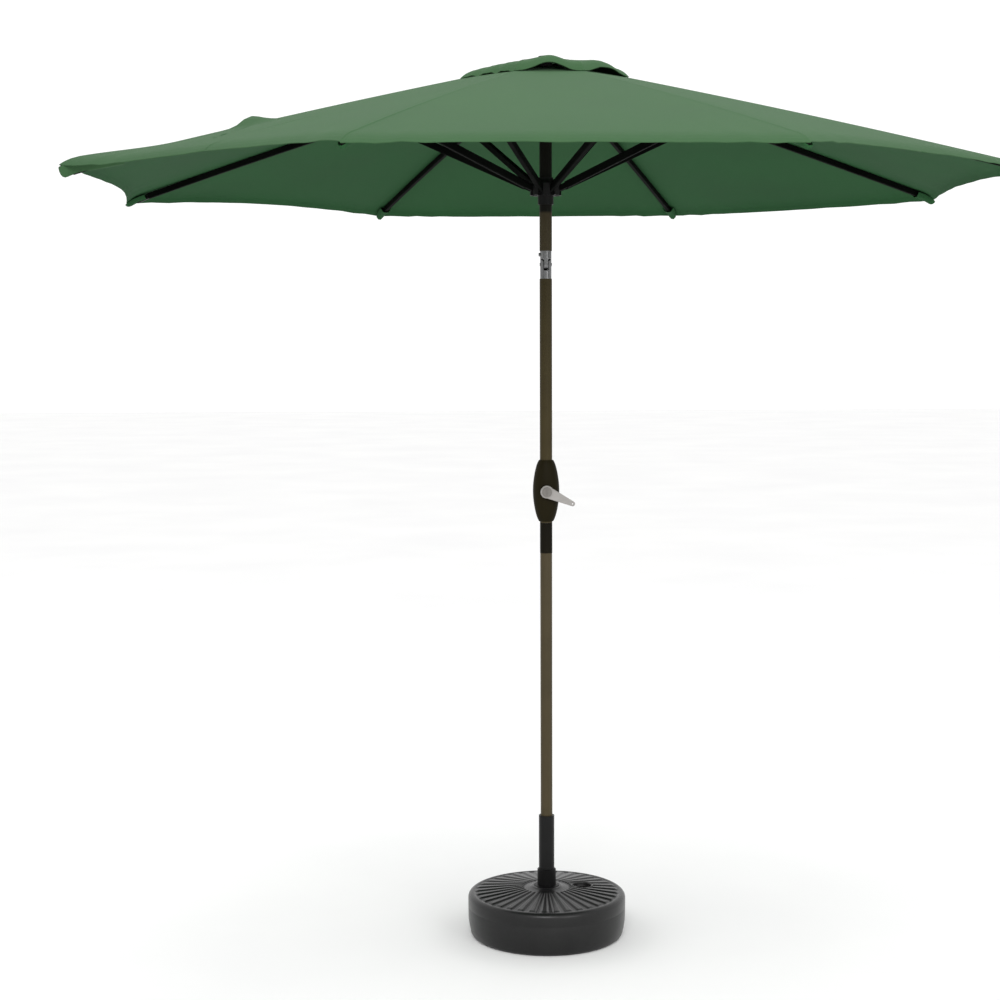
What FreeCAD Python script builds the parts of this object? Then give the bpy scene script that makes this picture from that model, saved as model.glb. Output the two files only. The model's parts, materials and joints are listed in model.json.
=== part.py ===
import FreeCAD, Part
import math
import os

from FreeCAD import Vector

# Market umbrella with a crank lift, a push-button tilt and a fillable round base.
# Frame: origin at the centre of the base's underside, +Z up the pole, millimetres.
# The crank is on the -Y side, and the front gore of the canopy faces -Y.

# ---------------------------------------------------------------- driving dimensions
RIB_COUNT = 8
RIB_STEP = 360.0 / RIB_COUNT
FIRST_RIB = -RIB_STEP / 2.0          # azimuth of the first rib, from -Y towards +X
RUNNING = 0.05                       # radial clearance of every pin in its hole
GAP = 0.5                            # clearance between pieces that only pass each other

CANOPY_R = 1330.0                    # rib tip, measured level from the pole's axis
CROWN_PIVOT_R = 46.0
CROWN_PIVOT_Z = 2465.0
RIB_SLOPE = 0.228                    # fall per millimetre at the crown pivot
RIB_ARC = 27700.0                    # radius of the ribs' shallow arc, from the fabric's pull
RIB_END_R = 1280.0
RIB_TALL = 17.0
RIB_WIDE = 12.0
RIB_WALL = 0.7
STRUT_JOINT_R = 500.0
STRUT_JOINT_Z = 2340.0
STRUT_EYE_R = 8.0
STRUT_EYE_WIDE = 12.0
STRUT_TALL = 20.0
STRUT_WIDE = 14.0
STRUT_NECK = 30.0                    # from each pivot to the full-size part of the strut
RUNNER_PIVOT_R = 34.0
RUNNER_PIVOT_Z = 2133.0
PIN_R = 2.0
TRUNNION_HALF = 9.8
RIVET_R = 1.6
RIVET_OFFSET = 9.0                   # bracket rivet, outward of the strut's joint

FABRIC = 1.2
FABRIC_ABOVE_AXIS = 11.0             # fabric's top face above the rib's axis
FABRIC_IN_R = 120.0
TIP_DROP_FROM = 1280.0
TIP_DROP = 0.00456                   # the fabric's corner pocket wraps down over the tip
HEM_SCALLOP = 34.0                   # how far the hem curves in between two ribs
PANEL_RISE = 9.0                     # the taut hem stands this much above a level chord
GORE_HALF = RIB_STEP / 2.0
VENT_IN_R = 26.0
VENT_OUT_R = 240.0
VENT_ARCH = 9.0                      # rise of the vent's hem between two ribs
VENT_TOP_Z = 2497.4
VENT_SLOPE = 0.15
VENT_TURN_FROM = 205.0               # from here the vent's hem turns down
VENT_TURN = 0.0180
SHEET_GAP = 0.15

BASE_R = 227.0
BASE_H = 124.0
BASE_TOP_H = 139.0
BASE_WALL = 4.0
FLUTE_COUNT = 36
SAND_LEVEL = 72.0                    # height that the sand fill reaches in the tank
FLUTE_IN_R = 66.0
FLUTE_OUT_R = 205.0
FILLER_X = 104.0
FILLER_Y = 26.0
FILLER_R = 19.0
FILLER_RECESS_R = 27.0
FILLER_SEAT = 120.0                  # level of the recess that the plug's flange sits in
FILLER_FOOT = 104.0

STEM_R = 22.2
STEM_BORE_R = 18.0
STEM_TOP = 348.0
STEM_FOOT = 12.0
COLLAR_R = 26.75
COLLAR_TOP = 192.0
COLLAR_FOOT = 60.0

LOWER_POLE_R = 17.0
LOWER_POLE_BORE = 15.4
LOWER_POLE_FOOT = 30.0
JOINT_LOW = 1109.0
JOINT_HIGH = 1196.0
UPPER_POLE_R = 17.5
UPPER_POLE_BORE = 16.0
UPPER_POLE_TOP = 1885.0
SPIGOT_LOW = 1000.0
SPIGOT_HIGH = 1250.0

HOUSING_LOW = 1200.0
HOUSING_HIGH = 1374.0
HOUSING_HALF_WIDE = 37.5
HOUSING_HALF_DEEP = 33.0
HOUSING_WALL = 3.0
CRANK_Z = 1286.0
SHAFT_R = 5.0
DRUM_R = 10.0
CRANK_REACH = 80.0
CRANK_DROOP = 25.0                   # the arm's angle below level
SCREW_SPOTS = ((24.5, 1310.0), (-24.5, 1310.0), (24.5, 1260.0), (-24.5, 1260.0))

KNUCKLE_R = 16.0
TILT_Z = 1925.0
TILT_PIN_R = 3.0
TONGUE_HALF = 5.6
FORK_HALF = 7.4
BUTTON_R = 5.0
BUTTON_Z = 1952.5
BUTTON_FACE = 20.3                   # the button stands on the -X side
BUTTON_BACK = 7.0
SPRING_MEAN_R = 3.2
SPRING_WIRE_R = 0.5
SPRING_PITCH = 2.6
SPRING_TURNS = 4
MAST_FOOT = 1963.0
MAST_TOP = 2452.0

CROWN_R = 58.0
CROWN_LOW = 2452.0
CROWN_HIGH = 2477.0
SLOT_HALF = 6.5
PULLEY_Z = 2458.0

RUNNER_R = 44.0
RUNNER_LOW = 2117.0
RUNNER_HIGH = 2150.0
RUNNER_TOP = 2167.0
SLEEVE_LOW = 2092.0
SLEEVE_R = 22.0
RUNNER_BORE = 18.0

UP = Vector(0, 0, 1)
AXIS = Vector(0, 0, 0)


# ---------------------------------------------------------------- helpers
def cylinder(r, low, high, x=0.0, y=0.0):
    return Part.makeCylinder(r, high - low, Vector(x, y, low), UP)


def tube(r_out, r_in, low, high):
    return cylinder(r_out, low, high).cut(cylinder(r_in, low - 1, high + 1))


def rod(r, start, end):
    run = end.sub(start)
    return Part.makeCylinder(r, run.Length, start, run)


def ring_rod(r_out, r_in, start, end):
    run = end.sub(start)
    margin = Vector(run).normalize()
    return rod(r_out, start, end).cut(rod(r_in, start.sub(margin), end.add(margin)))


def block(x0, x1, y0, y1, z0, z1):
    return Part.makeBox(x1 - x0, y1 - y0, z1 - z0, Vector(x0, y0, z0))


def drill(near, far, r):
    """Cutter for an eye's hole, a little longer than the eye."""
    margin = far.sub(near).normalize()
    return rod(r, near.sub(margin), far.add(margin))


def turned(points):
    """Solid of revolution about the pole's axis, from a closed (r, z) outline."""
    corners = [Vector(r, 0, z) for r, z in points]
    face = Part.Face(Part.makePolygon(corners + corners[:1]))
    return face.revolve(AXIS, UP, 360)


def fuse(first, *others):
    return first.multiFuse(list(others)).removeSplitter()


def rounded(shape, radius, pick):
    return shape.makeFillet(radius, [e for e in shape.Edges if pick(e)])


def flat_at_y(y):
    """Pick the edges of a face square to Y."""
    return lambda edge: edge.BoundBox.YLength < 0.01 and abs(edge.BoundBox.YMin - y) < 0.01


def at_azimuth(shape, degrees):
    """Turn a piece drawn in the +X half-plane to an azimuth measured from -Y towards +X."""
    placed = shape.copy()
    placed.rotate(AXIS, UP, degrees - 90.0)
    return placed


def rib_azimuth(k):
    return FIRST_RIB + k * RIB_STEP


def save(node, *solids):
    shape = solids[0] if len(solids) == 1 else Part.makeCompound(list(solids))
    for solid in shape.Solids:
        if not (solid.isValid() and solid.isClosed() and solid.Volume > 0):
            raise RuntimeError(node + " holds a bad solid")
    shape.exportStep("parts/" + node + ".step")
    print(node, len(shape.Solids), round(shape.Volume / 1000.0, 2), "cm3")


# ---------------------------------------------------------------- base
def base_outline(inset):
    """Half-section of the tank, shrunk by inset: taper at the foot, round rim, low cone on top."""
    foot = BASE_R - 10.0 - inset
    side = BASE_R - inset
    rim = 15.0 - inset
    low = inset
    return foot, side, rim, low


def base_body(inset, bore):
    foot, side, rim, low = base_outline(inset)
    top = BASE_H - inset
    crown = BASE_TOP_H - inset
    shoulder = Vector(side - rim, 0, top)
    edges = [
        Part.makeLine(Vector(bore, 0, low), Vector(foot - 6, 0, low)),
        Part.Arc(
            Vector(foot - 6, 0, low), Vector(foot - 1.6, 0, low + 2.4), Vector(foot + 1, 0, low + 8)
        ).toShape(),
        Part.makeLine(Vector(foot + 1, 0, low + 8), Vector(side, 0, 46)),
        Part.makeLine(Vector(side, 0, 46), Vector(side, 0, top - rim)),
        Part.Arc(
            Vector(side, 0, top - rim),
            Vector(side - rim * (1 - math.cos(math.pi / 4)), 0, top - rim * (1 - math.sin(math.pi / 4))),
            shoulder,
        ).toShape(),
        Part.makeLine(shoulder, Vector(BASE_R - 24, 0, top - 2.5)),
        Part.makeLine(Vector(BASE_R - 24, 0, top - 2.5), Vector(60, 0, crown - 2)),
        Part.makeLine(Vector(60, 0, crown - 2), Vector(44, 0, crown)),
        Part.makeLine(Vector(44, 0, crown), Vector(bore, 0, crown)),
        Part.makeLine(Vector(bore, 0, crown), Vector(bore, 0, low)),
    ]
    return Part.Face(Part.Wire(edges)).revolve(AXIS, UP, 360)


def base_flute():
    """One raised flute on the tank's top, from near the stem to near the rim."""
    inner, outer = FLUTE_IN_R, FLUTE_OUT_R
    z_in = BASE_TOP_H - 2.6
    z_out = BASE_H - 2.6
    rise = 2.6
    foot_half_in, foot_half_out = 3.2, 7.0
    top_half_in, top_half_out = 1.8, 4.2
    low = [
        Vector(inner, -foot_half_in, z_in - 4),
        Vector(outer, -foot_half_out, z_out - 4),
        Vector(outer, foot_half_out, z_out - 4),
        Vector(inner, foot_half_in, z_in - 4),
    ]
    high = [
        Vector(inner + 3, -top_half_in, z_in + rise),
        Vector(outer - 5, -top_half_out, z_out + rise),
        Vector(outer - 5, top_half_out, z_out + rise),
        Vector(inner + 3, top_half_in, z_in + rise),
    ]
    return Part.makeLoft([Part.makePolygon(low + low[:1]), Part.makePolygon(high + high[:1])], True, True)


def base_shell():
    """Hollow tank with a fluted top, a socket for the stem and a sunken filler neck."""
    socket_r = COLLAR_R + 0.3
    outer = base_body(0.0, socket_r)
    cavity = base_body(BASE_WALL, socket_r + BASE_WALL)
    flutes = []
    for k in range(FLUTE_COUNT):
        flutes.append(at_azimuth(base_flute(), (k + 0.5) * 360.0 / FLUTE_COUNT))
    recess = cylinder(FILLER_RECESS_R, FILLER_SEAT, 160, FILLER_X, FILLER_Y)
    cup = cylinder(FILLER_RECESS_R + 3, FILLER_FOOT, BASE_TOP_H, FILLER_X, FILLER_Y).common(outer)
    floor = tube(COLLAR_R + 1.0, 8.0, 0.0, STEM_FOOT - GAP)
    shell = outer.multiFuse(flutes).cut(cavity).fuse(cup).fuse(floor)
    shell = shell.cut(recess).cut(cylinder(FILLER_R, FILLER_FOOT - 1, 160, FILLER_X, FILLER_Y))
    return shell.removeSplitter()


def sand_ballast():
    fill = base_body(BASE_WALL + GAP, COLLAR_R + 0.3 + BASE_WALL + GAP)
    level = cylinder(BASE_R, 0, SAND_LEVEL)
    return fill.common(level)


def filler_plug():
    """Pull-out bung with a dished top and a finger bar."""
    low, seat = FILLER_FOOT - 3, FILLER_SEAT
    shank_r = FILLER_R - 0.4
    shank = cylinder(shank_r, low, seat + 1, FILLER_X, FILLER_Y)
    flange = cylinder(FILLER_R + 4, seat + 0.2, seat + 4, FILLER_X, FILLER_Y)
    dish = cylinder(FILLER_R - 4, low + 5, seat + 5, FILLER_X, FILLER_Y)
    reach = FILLER_R - 2
    bar = block(FILLER_X - 3, FILLER_X + 3, FILLER_Y - reach, FILLER_Y + reach, low + 4, seat + 3)
    return fuse(fuse(shank, flange).cut(dish), bar)


def stem_collar():
    """Sleeve round the stem, with a separate-looking lip where it leaves the tank."""
    inner = STEM_R + 0.1
    sleeve = turned([
        (inner, COLLAR_FOOT),
        (COLLAR_R, COLLAR_FOOT),
        (COLLAR_R, COLLAR_TOP - 2.5),
        (COLLAR_R - 2.5, COLLAR_TOP),
        (inner, COLLAR_TOP),
    ])
    lip_low = BASE_TOP_H + 0.3
    lip = turned([
        (COLLAR_R - 1, lip_low),
        (36, lip_low),
        (34, lip_low + 3.1),
        (COLLAR_R - 1, lip_low + 4.9),
    ])
    return sleeve.fuse(lip)


def build_base():
    save("base_shell", base_shell())
    save("sand_ballast", sand_ballast())
    save("filler_plug", filler_plug())
    save("base_stem", tube(STEM_R, STEM_BORE_R, STEM_FOOT, STEM_TOP))
    save("stem_collar", stem_collar())


# ---------------------------------------------------------------- poles
def pole_foot_cap():
    low = STEM_FOOT
    cup = cylinder(LOWER_POLE_R, low + 0.2, LOWER_POLE_FOOT)
    plug = cylinder(LOWER_POLE_BORE, LOWER_POLE_FOOT - 1, LOWER_POLE_FOOT + 26)
    hollow = cylinder(LOWER_POLE_BORE - 2.5, low + 6, LOWER_POLE_FOOT + 27)
    return fuse(cup, plug).cut(hollow)


def build_lower_pole():
    save("lower_pole", tube(LOWER_POLE_R, LOWER_POLE_BORE, LOWER_POLE_FOOT, JOINT_LOW))
    save("pole_foot_cap", pole_foot_cap())
    inner = LOWER_POLE_BORE - 0.3
    skirt = turned([
        (inner, JOINT_LOW - 24),
        (LOWER_POLE_BORE, JOINT_LOW - 24),
        (LOWER_POLE_BORE, JOINT_LOW),
        (UPPER_POLE_R, JOINT_LOW),
        (UPPER_POLE_R, JOINT_HIGH - GAP),
        (inner, JOINT_HIGH - GAP),
    ])
    save("pole_joint_sleeve", skirt)


def upper_pole():
    pole = tube(UPPER_POLE_R, UPPER_POLE_BORE, JOINT_HIGH, UPPER_POLE_TOP)
    window = block(-14.5, 14.5, -30, 30, CRANK_Z - 19, CRANK_Z + 19)
    return pole.cut(window)


def build_upper_pole():
    save("upper_pole", upper_pole())
    spigot = tube(LOWER_POLE_BORE - 0.4, LOWER_POLE_BORE - 2.0, SPIGOT_LOW, SPIGOT_HIGH)
    band = tube(UPPER_POLE_BORE, LOWER_POLE_BORE - 1.0, JOINT_HIGH + 4, JOINT_HIGH + 14)
    second = tube(UPPER_POLE_BORE, LOWER_POLE_BORE - 1.0, JOINT_HIGH + 38, JOINT_HIGH + 48)
    save("pole_spigot", fuse(spigot, band, second))


# ---------------------------------------------------------------- crank housing
def housing_body(inset):
    """Almond-shaped pod round the pole: pointed-oval front outline, domed front and back."""
    half_wide = HOUSING_HALF_WIDE - inset
    half_deep = HOUSING_HALF_DEEP - inset
    middle = (HOUSING_LOW + HOUSING_HIGH) / 2.0
    half_tall = (HOUSING_HIGH - HOUSING_LOW) / 2.0 - inset
    sections = []
    for level in (-1.0, -0.86, -0.6, -0.3, 0.0, 0.3, 0.6, 0.86, 1.0):
        swell = math.cos(level * math.pi / 2.0) ** 0.72
        end = UPPER_POLE_R + 3.0 - inset
        a = end + (half_wide - end) * swell
        b = end + (half_deep - end) * swell
        z = middle + level * half_tall
        oval = Part.Ellipse(Vector(0, 0, z), max(a, b + 0.01), b)
        sections.append(Part.Wire(oval.toShape()))
    return Part.makeLoft(sections, True)


def housing_half(side):
    body = housing_body(0.0)
    hollow = housing_body(HOUSING_WALL)
    hollow = hollow.common(block(-60, 60, -60, 60, HOUSING_LOW + 14, HOUSING_HIGH - 14))
    shell = body.cut(hollow).cut(cylinder(UPPER_POLE_R + 0.1, HOUSING_LOW - 1, HOUSING_HIGH + 1))
    near, far = sorted((side * 0.15, side * 60.0))
    keep = block(-60, 60, near, far, HOUSING_LOW - 1, HOUSING_HIGH + 1)
    half = shell.common(keep)
    boss = rod(11, Vector(0, side * 20, CRANK_Z), Vector(0, side * 32, CRANK_Z))
    half = half.fuse(boss.common(body))
    half = half.cut(rod(8, Vector(0, side * 10, CRANK_Z), Vector(0, side * 60, CRANK_Z)))
    for x, z in SCREW_SPOTS:
        post = rod(4.5, Vector(x, side * 0.15, z), Vector(x, side * 26, z)).common(body)
        half = half.fuse(post)
    for x, z in SCREW_SPOTS:
        if side < 0:
            half = half.cut(rod(1.4, Vector(x, 0, z), Vector(x, -12, z)))
        else:
            half = half.cut(rod(1.6, Vector(x, -1, z), Vector(x, 40, z)))
            half = half.cut(rod(3.3, Vector(x, 14, z), Vector(x, 40, z)))
    return half.removeSplitter()


def housing_screw(x, z):
    shank = rod(1.4, Vector(x, -10, z), Vector(x, 14, z))
    head = rod(2.9, Vector(x, 14, z), Vector(x, 16.4, z))
    slot = block(x - 0.4, x + 0.4, 15.4, 17, z - 2.2, z + 2.2)
    cross = block(x - 2.2, x + 2.2, 15.4, 17, z - 0.4, z + 0.4)
    return fuse(shank, head).cut(slot).cut(cross)


def spool_bushing(side):
    """Flanged bush for the crank's shaft, through one half of the housing."""

    def ring(r, near, far):
        start, end = Vector(0, side * near, CRANK_Z), Vector(0, side * far, CRANK_Z)
        return ring_rod(r, SHAFT_R + RUNNING, start, end)

    return fuse(ring(8.0, 20.5, 33.5), ring(10.0, 33.2, 35.0))


def build_housing():
    save("crank_housing_front", housing_half(-1))
    save("crank_housing_back", housing_half(1))
    save("housing_screws", *[housing_screw(x, z) for x, z in SCREW_SPOTS])
    save("spool_bushings", spool_bushing(-1), spool_bushing(1))


# ---------------------------------------------------------------- crank
def cord_spool():
    shaft = rod(SHAFT_R, Vector(0, -50, CRANK_Z), Vector(0, 34.5, CRANK_Z))
    drum = rod(DRUM_R, Vector(0, -15, CRANK_Z), Vector(0, 15, CRANK_Z))
    front = rod(13.5, Vector(0, -17, CRANK_Z), Vector(0, -15, CRANK_Z))
    back = rod(13.5, Vector(0, 15, CRANK_Z), Vector(0, 17, CRANK_Z))
    spool = fuse(shaft, drum, front, back)
    flat = block(3.6, 8, -51, -38, CRANK_Z - 8, CRANK_Z + 8)
    return spool.cut(flat)


def crank_handle():
    """Hub with a tapering, slightly dished arm that ends in a round eye."""
    near, far = -37.0, -48.0
    hub = rod(18, Vector(0, near, CRANK_Z), Vector(0, far, CRANK_Z))
    hub = rounded(hub, 2.0, flat_at_y(far))
    root_half, tip_half = 17.0, 7.0
    reach = CRANK_REACH
    outline = [
        Part.makeLine(Vector(0, 0, root_half), Vector(reach, 0, tip_half)),
        Part.Arc(
            Vector(reach, 0, tip_half), Vector(reach + tip_half, 0, 0), Vector(reach, 0, -tip_half)
        ).toShape(),
        Part.makeLine(Vector(reach, 0, -tip_half), Vector(0, 0, -root_half)),
        Part.makeLine(Vector(0, 0, -root_half), Vector(0, 0, root_half)),
    ]
    arm = Part.Face(Part.Wire(outline)).extrude(Vector(0, 8, 0))
    arm.translate(Vector(0, -46, 0))
    arm = rounded(arm, 1.5, lambda e: e.BoundBox.YLength < 0.01 and e.BoundBox.XMax > 20)
    arm.rotate(AXIS, Vector(0, 1, 0), CRANK_DROOP)
    arm.translate(Vector(0, 0, CRANK_Z))
    handle = fuse(hub, arm)
    handle = handle.cut(rod(SHAFT_R + RUNNING, Vector(0, -60, CRANK_Z), Vector(0, 0, CRANK_Z)))
    droop = math.radians(CRANK_DROOP)
    eye = Vector(reach * math.cos(droop), 0, CRANK_Z - reach * math.sin(droop))
    return handle.cut(rod(2.2, Vector(eye.x, -60, eye.z), Vector(eye.x, -20, eye.z)))


def crank_cap():
    """Round screw cap over the crank's hub, with a driver slot."""
    disc = rod(14, Vector(0, -48.2, CRANK_Z), Vector(0, -52.5, CRANK_Z))
    disc = rounded(disc, 1.5, flat_at_y(-52.5))
    slot = block(-1.2, 1.2, -53, -50.6, CRANK_Z - 9, CRANK_Z + 9)
    recess = rod(SHAFT_R + 0.3, Vector(0, -50.4, CRANK_Z), Vector(0, -47, CRANK_Z))
    return disc.cut(slot).cut(recess)


def build_crank():
    save("cord_spool", cord_spool())
    save("crank_handle", crank_handle())
    save("crank_cap", crank_cap())


# ---------------------------------------------------------------- tilt knuckle
def knuckle_grooves(low, high):
    """Upright grooves that carry on the fork's two gaps, on the front and the back."""
    grooves = []
    for x in (-FORK_HALF, TONGUE_HALF):
        for y in (-KNUCKLE_R - 2, KNUCKLE_R - 4.5):
            grooves.append(block(x, x + FORK_HALF - TONGUE_HALF, y, y + 6.5, low, high))
    return grooves


def tilt_fork():
    """Lower casting: plug inside the pole, round body, and two ears about the tilt pin."""
    plug = cylinder(UPPER_POLE_BORE - 0.05, UPPER_POLE_TOP - 34, UPPER_POLE_TOP)
    body = cylinder(KNUCKLE_R, UPPER_POLE_TOP, TILT_Z)
    ear = rod(KNUCKLE_R, Vector(-KNUCKLE_R, 0, TILT_Z), Vector(KNUCKLE_R, 0, TILT_Z))
    ears = ear.common(cylinder(KNUCKLE_R, TILT_Z - 20, TILT_Z + 20))
    casting = fuse(plug, body, ears)
    casting = casting.cut(block(-FORK_HALF, FORK_HALF, -20, 20, TILT_Z - KNUCKLE_R - 1, TILT_Z + 20))
    for groove in knuckle_grooves(UPPER_POLE_TOP + 3, TILT_Z - KNUCKLE_R):
        casting = casting.cut(groove)
    return casting.cut(rod(TILT_PIN_R, Vector(-20, 0, TILT_Z), Vector(20, 0, TILT_Z)))


def tilt_tongue():
    """Upper casting: blade in the fork, shoulder above it, and a plug inside the mast."""
    blade_r = KNUCKLE_R - 0.6
    blade = rod(blade_r, Vector(-TONGUE_HALF, 0, TILT_Z), Vector(TONGUE_HALF, 0, TILT_Z))
    shank = block(-TONGUE_HALF, TONGUE_HALF, -blade_r, blade_r, TILT_Z, MAST_FOOT - 10)
    shank = shank.common(cylinder(KNUCKLE_R, TILT_Z, MAST_FOOT))
    shoulder_low = TILT_Z + KNUCKLE_R + GAP
    shoulder = cylinder(KNUCKLE_R, shoulder_low, MAST_FOOT)
    for groove in knuckle_grooves(shoulder_low - 1, MAST_FOOT - 4):
        shoulder = shoulder.cut(groove)
    plug = cylinder(UPPER_POLE_BORE - 0.05, MAST_FOOT, MAST_FOOT + 40)
    casting = fuse(blade, shank, shoulder, plug)
    casting = casting.cut(rod(TILT_PIN_R + RUNNING, Vector(-20, 0, TILT_Z), Vector(20, 0, TILT_Z)))
    return casting.cut(rod(BUTTON_R + RUNNING, Vector(-20, 0, BUTTON_Z), Vector(6, 0, BUTTON_Z)))


def tilt_pin():
    """Headed pin, with a washer each side of the tongue."""
    reach = KNUCKLE_R + 0.5
    shank = rod(TILT_PIN_R - 0.02, Vector(-reach, 0, TILT_Z), Vector(reach, 0, TILT_Z))
    pieces = [shank]
    for side in (-1, 1):
        head_in, head_out = side * (KNUCKLE_R + 0.1), side * (KNUCKLE_R + 1.2)
        pieces.append(rod(4.5, Vector(head_in, 0, TILT_Z), Vector(head_out, 0, TILT_Z)))
        washer_in, washer_out = side * (TONGUE_HALF + 0.1), side * (FORK_HALF - 0.1)
        pieces.append(rod(6.5, Vector(washer_in, 0, TILT_Z), Vector(washer_out, 0, TILT_Z)))
    return fuse(*pieces)


def tilt_button():
    face = -BUTTON_FACE
    button = rod(BUTTON_R, Vector(face, 0, BUTTON_Z), Vector(-BUTTON_BACK, 0, BUTTON_Z))
    return rounded(button, 1.2, lambda e: e.BoundBox.XLength < 0.01 and abs(e.BoundBox.XMin - face) < 0.01)


def spring_section(turn):
    """Eight-sided section of the coil's wire, after a number of turns along X."""
    around = turn * 2.0 * math.pi
    out = Vector(0, math.cos(around), math.sin(around))
    middle = Vector(-BUTTON_BACK + 1.6 + turn * SPRING_PITCH, 0, BUTTON_Z) + out * SPRING_MEAN_R
    corners = []
    for i in range(8):
        angle = math.radians(22.5 + 45.0 * i)
        across = out * (SPRING_WIRE_R * math.cos(angle))
        corners.append(middle + across + Vector(SPRING_WIRE_R * math.sin(angle), 0, 0))
    return Part.makePolygon(corners + corners[:1])


def button_spring():
    """Coil behind the tilt button."""
    steps = SPRING_TURNS * 16
    return Part.makeLoft([spring_section(i / 16.0) for i in range(steps + 1)], True, True)


def build_knuckle():
    save("tilt_fork", tilt_fork())
    save("tilt_tongue", tilt_tongue())
    save("tilt_pin", tilt_pin())
    save("tilt_button", tilt_button())
    save("button_spring", button_spring())


# ---------------------------------------------------------------- mast and crown
def crown_hub():
    """Disc with a slot for each rib, a pulley slot, and a spigot in the mast."""
    disc = cylinder(CROWN_R, CROWN_LOW, CROWN_HIGH)
    skirt = cylinder(24, CROWN_LOW - 18, CROWN_LOW + 1)
    plug = cylinder(UPPER_POLE_BORE - 0.05, CROWN_LOW - 50, CROWN_LOW)
    hub = fuse(disc, skirt, plug)
    hub = hub.cut(tube(UPPER_POLE_R + 0.1, UPPER_POLE_BORE - 0.05, CROWN_LOW - 30, CROWN_LOW - 0.01))
    hub = hub.cut(cylinder(12, CROWN_LOW - 60, CROWN_HIGH - 4))
    for k in range(RIB_COUNT):
        slot = block(34, CROWN_R + 2, -SLOT_HALF, SLOT_HALF, CROWN_LOW - 1, CROWN_HIGH + 1)
        hub = hub.cut(at_azimuth(slot, rib_azimuth(k)))
        hub = hub.cut(at_azimuth(crown_pin(RUNNING), rib_azimuth(k)))
    hub = hub.cut(rod(2.0, Vector(-14, 0, PULLEY_Z), Vector(14, 0, PULLEY_Z)))
    return hub


def crown_pin(extra=0.0):
    half = SLOT_HALF + 4.0
    start = Vector(CROWN_PIVOT_R, -half, CROWN_PIVOT_Z)
    return rod(PIN_R + extra, start, Vector(CROWN_PIVOT_R, half, CROWN_PIVOT_Z))


def cord_pulley():
    wheel = rod(9.0, Vector(-3.5, 0, PULLEY_Z), Vector(3.5, 0, PULLEY_Z))
    groove = ring_rod(10.0, 6.0, Vector(-1.6, 0, PULLEY_Z), Vector(1.6, 0, PULLEY_Z))
    return wheel.cut(groove).cut(rod(2.0 + RUNNING, Vector(-5, 0, PULLEY_Z), Vector(5, 0, PULLEY_Z)))


def build_mast():
    save("mast_tube", tube(UPPER_POLE_R, UPPER_POLE_BORE, MAST_FOOT, MAST_TOP - 0.2))
    save("crown_hub", crown_hub())
    axle = rod(2.0, Vector(-13.5, 0, PULLEY_Z), Vector(13.5, 0, PULLEY_Z))
    save("crown_pins", axle, *[at_azimuth(crown_pin(), rib_azimuth(k)) for k in range(RIB_COUNT)])
    save("cord_pulley", cord_pulley())
    stud = cylinder(5, CROWN_HIGH + 0.1, 2500)
    cap = turned([(0, 2498.6), (21, 2498.6), (20, 2501.6), (12, 2503), (0, 2503)])
    save("crown_cap", fuse(stud, cap))


# ---------------------------------------------------------------- runner
def runner_hub():
    """Sliding hub: sleeve on the mast and a notched arm either side of each strut's foot."""
    sleeve = cylinder(SLEEVE_R, SLEEVE_LOW, RUNNER_TOP)
    disc = cylinder(RUNNER_R, RUNNER_LOW, RUNNER_HIGH)
    neck = turned([
        (0, RUNNER_HIGH - 1),
        (26, RUNNER_HIGH - 1),
        (SLEEVE_R, RUNNER_TOP - 4),
        (0, RUNNER_TOP - 4),
    ])
    hub = fuse(sleeve, disc, neck).cut(cylinder(RUNNER_BORE, SLEEVE_LOW - 1, RUNNER_TOP + 1))
    keyway = BUTTON_R + 0.6
    hub = hub.cut(block(-BUTTON_FACE - 0.5, 0, -keyway, keyway, SLEEVE_LOW - 1, RUNNER_TOP + 1))
    slot_half = STRUT_WIDE / 2.0 + 0.4
    across = TRUNNION_HALF + 0.4
    seat_r = PIN_R + 0.1
    for k in range(RIB_COUNT):
        slot = block(SLEEVE_R + 1.5, RUNNER_R + 2, -slot_half, slot_half, RUNNER_LOW - 1, RUNNER_HIGH + 1)
        notch_in, notch_out = RUNNER_PIVOT_R - seat_r, RUNNER_PIVOT_R + seat_r + 3
        notch = block(notch_in, notch_out, -across, across, RUNNER_LOW - 1, RUNNER_PIVOT_Z)
        start = Vector(RUNNER_PIVOT_R, -across, RUNNER_PIVOT_Z)
        seat = rod(seat_r, start, Vector(RUNNER_PIVOT_R, across, RUNNER_PIVOT_Z))
        for cutter in (slot, notch, seat):
            hub = hub.cut(at_azimuth(cutter, rib_azimuth(k)))
    return hub


# ---------------------------------------------------------------- ribs and struts
def rib_arc_centre():
    fall = math.atan(RIB_SLOPE)
    return Vector(
        CROWN_PIVOT_R - RIB_ARC * math.sin(fall), 0, CROWN_PIVOT_Z - RIB_ARC * math.cos(fall)
    )


def rib_fall(r):
    """Angle of the rib's axis below level at r, in radians."""
    return math.asin((r - rib_arc_centre().x) / RIB_ARC)


def rib_axis_z(r):
    return rib_arc_centre().z + RIB_ARC * math.cos(rib_fall(r))


def arc_through(section, start_r, end_r):
    """Sweep a section drawn at start_r along the rib's shallow arc."""
    turn = rib_fall(end_r) - rib_fall(start_r)
    return section.revolve(rib_arc_centre(), Vector(0, 1, 0), math.degrees(turn))


def rib_section(r, tall, wide):
    """Rounded rectangle square to the rib's axis at r."""
    corner = 2.5 * wide / RIB_WIDE
    box = block(0, 1, -wide / 2.0, wide / 2.0, -tall / 2.0, tall / 2.0)
    box = rounded(box, corner, lambda e: e.BoundBox.XLength > 0.5)
    face = min(box.Faces, key=lambda f: f.BoundBox.XMax)
    face.rotate(AXIS, Vector(0, 1, 0), math.degrees(rib_fall(r)))
    face.translate(Vector(r, 0, rib_axis_z(r)))
    return face


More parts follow.
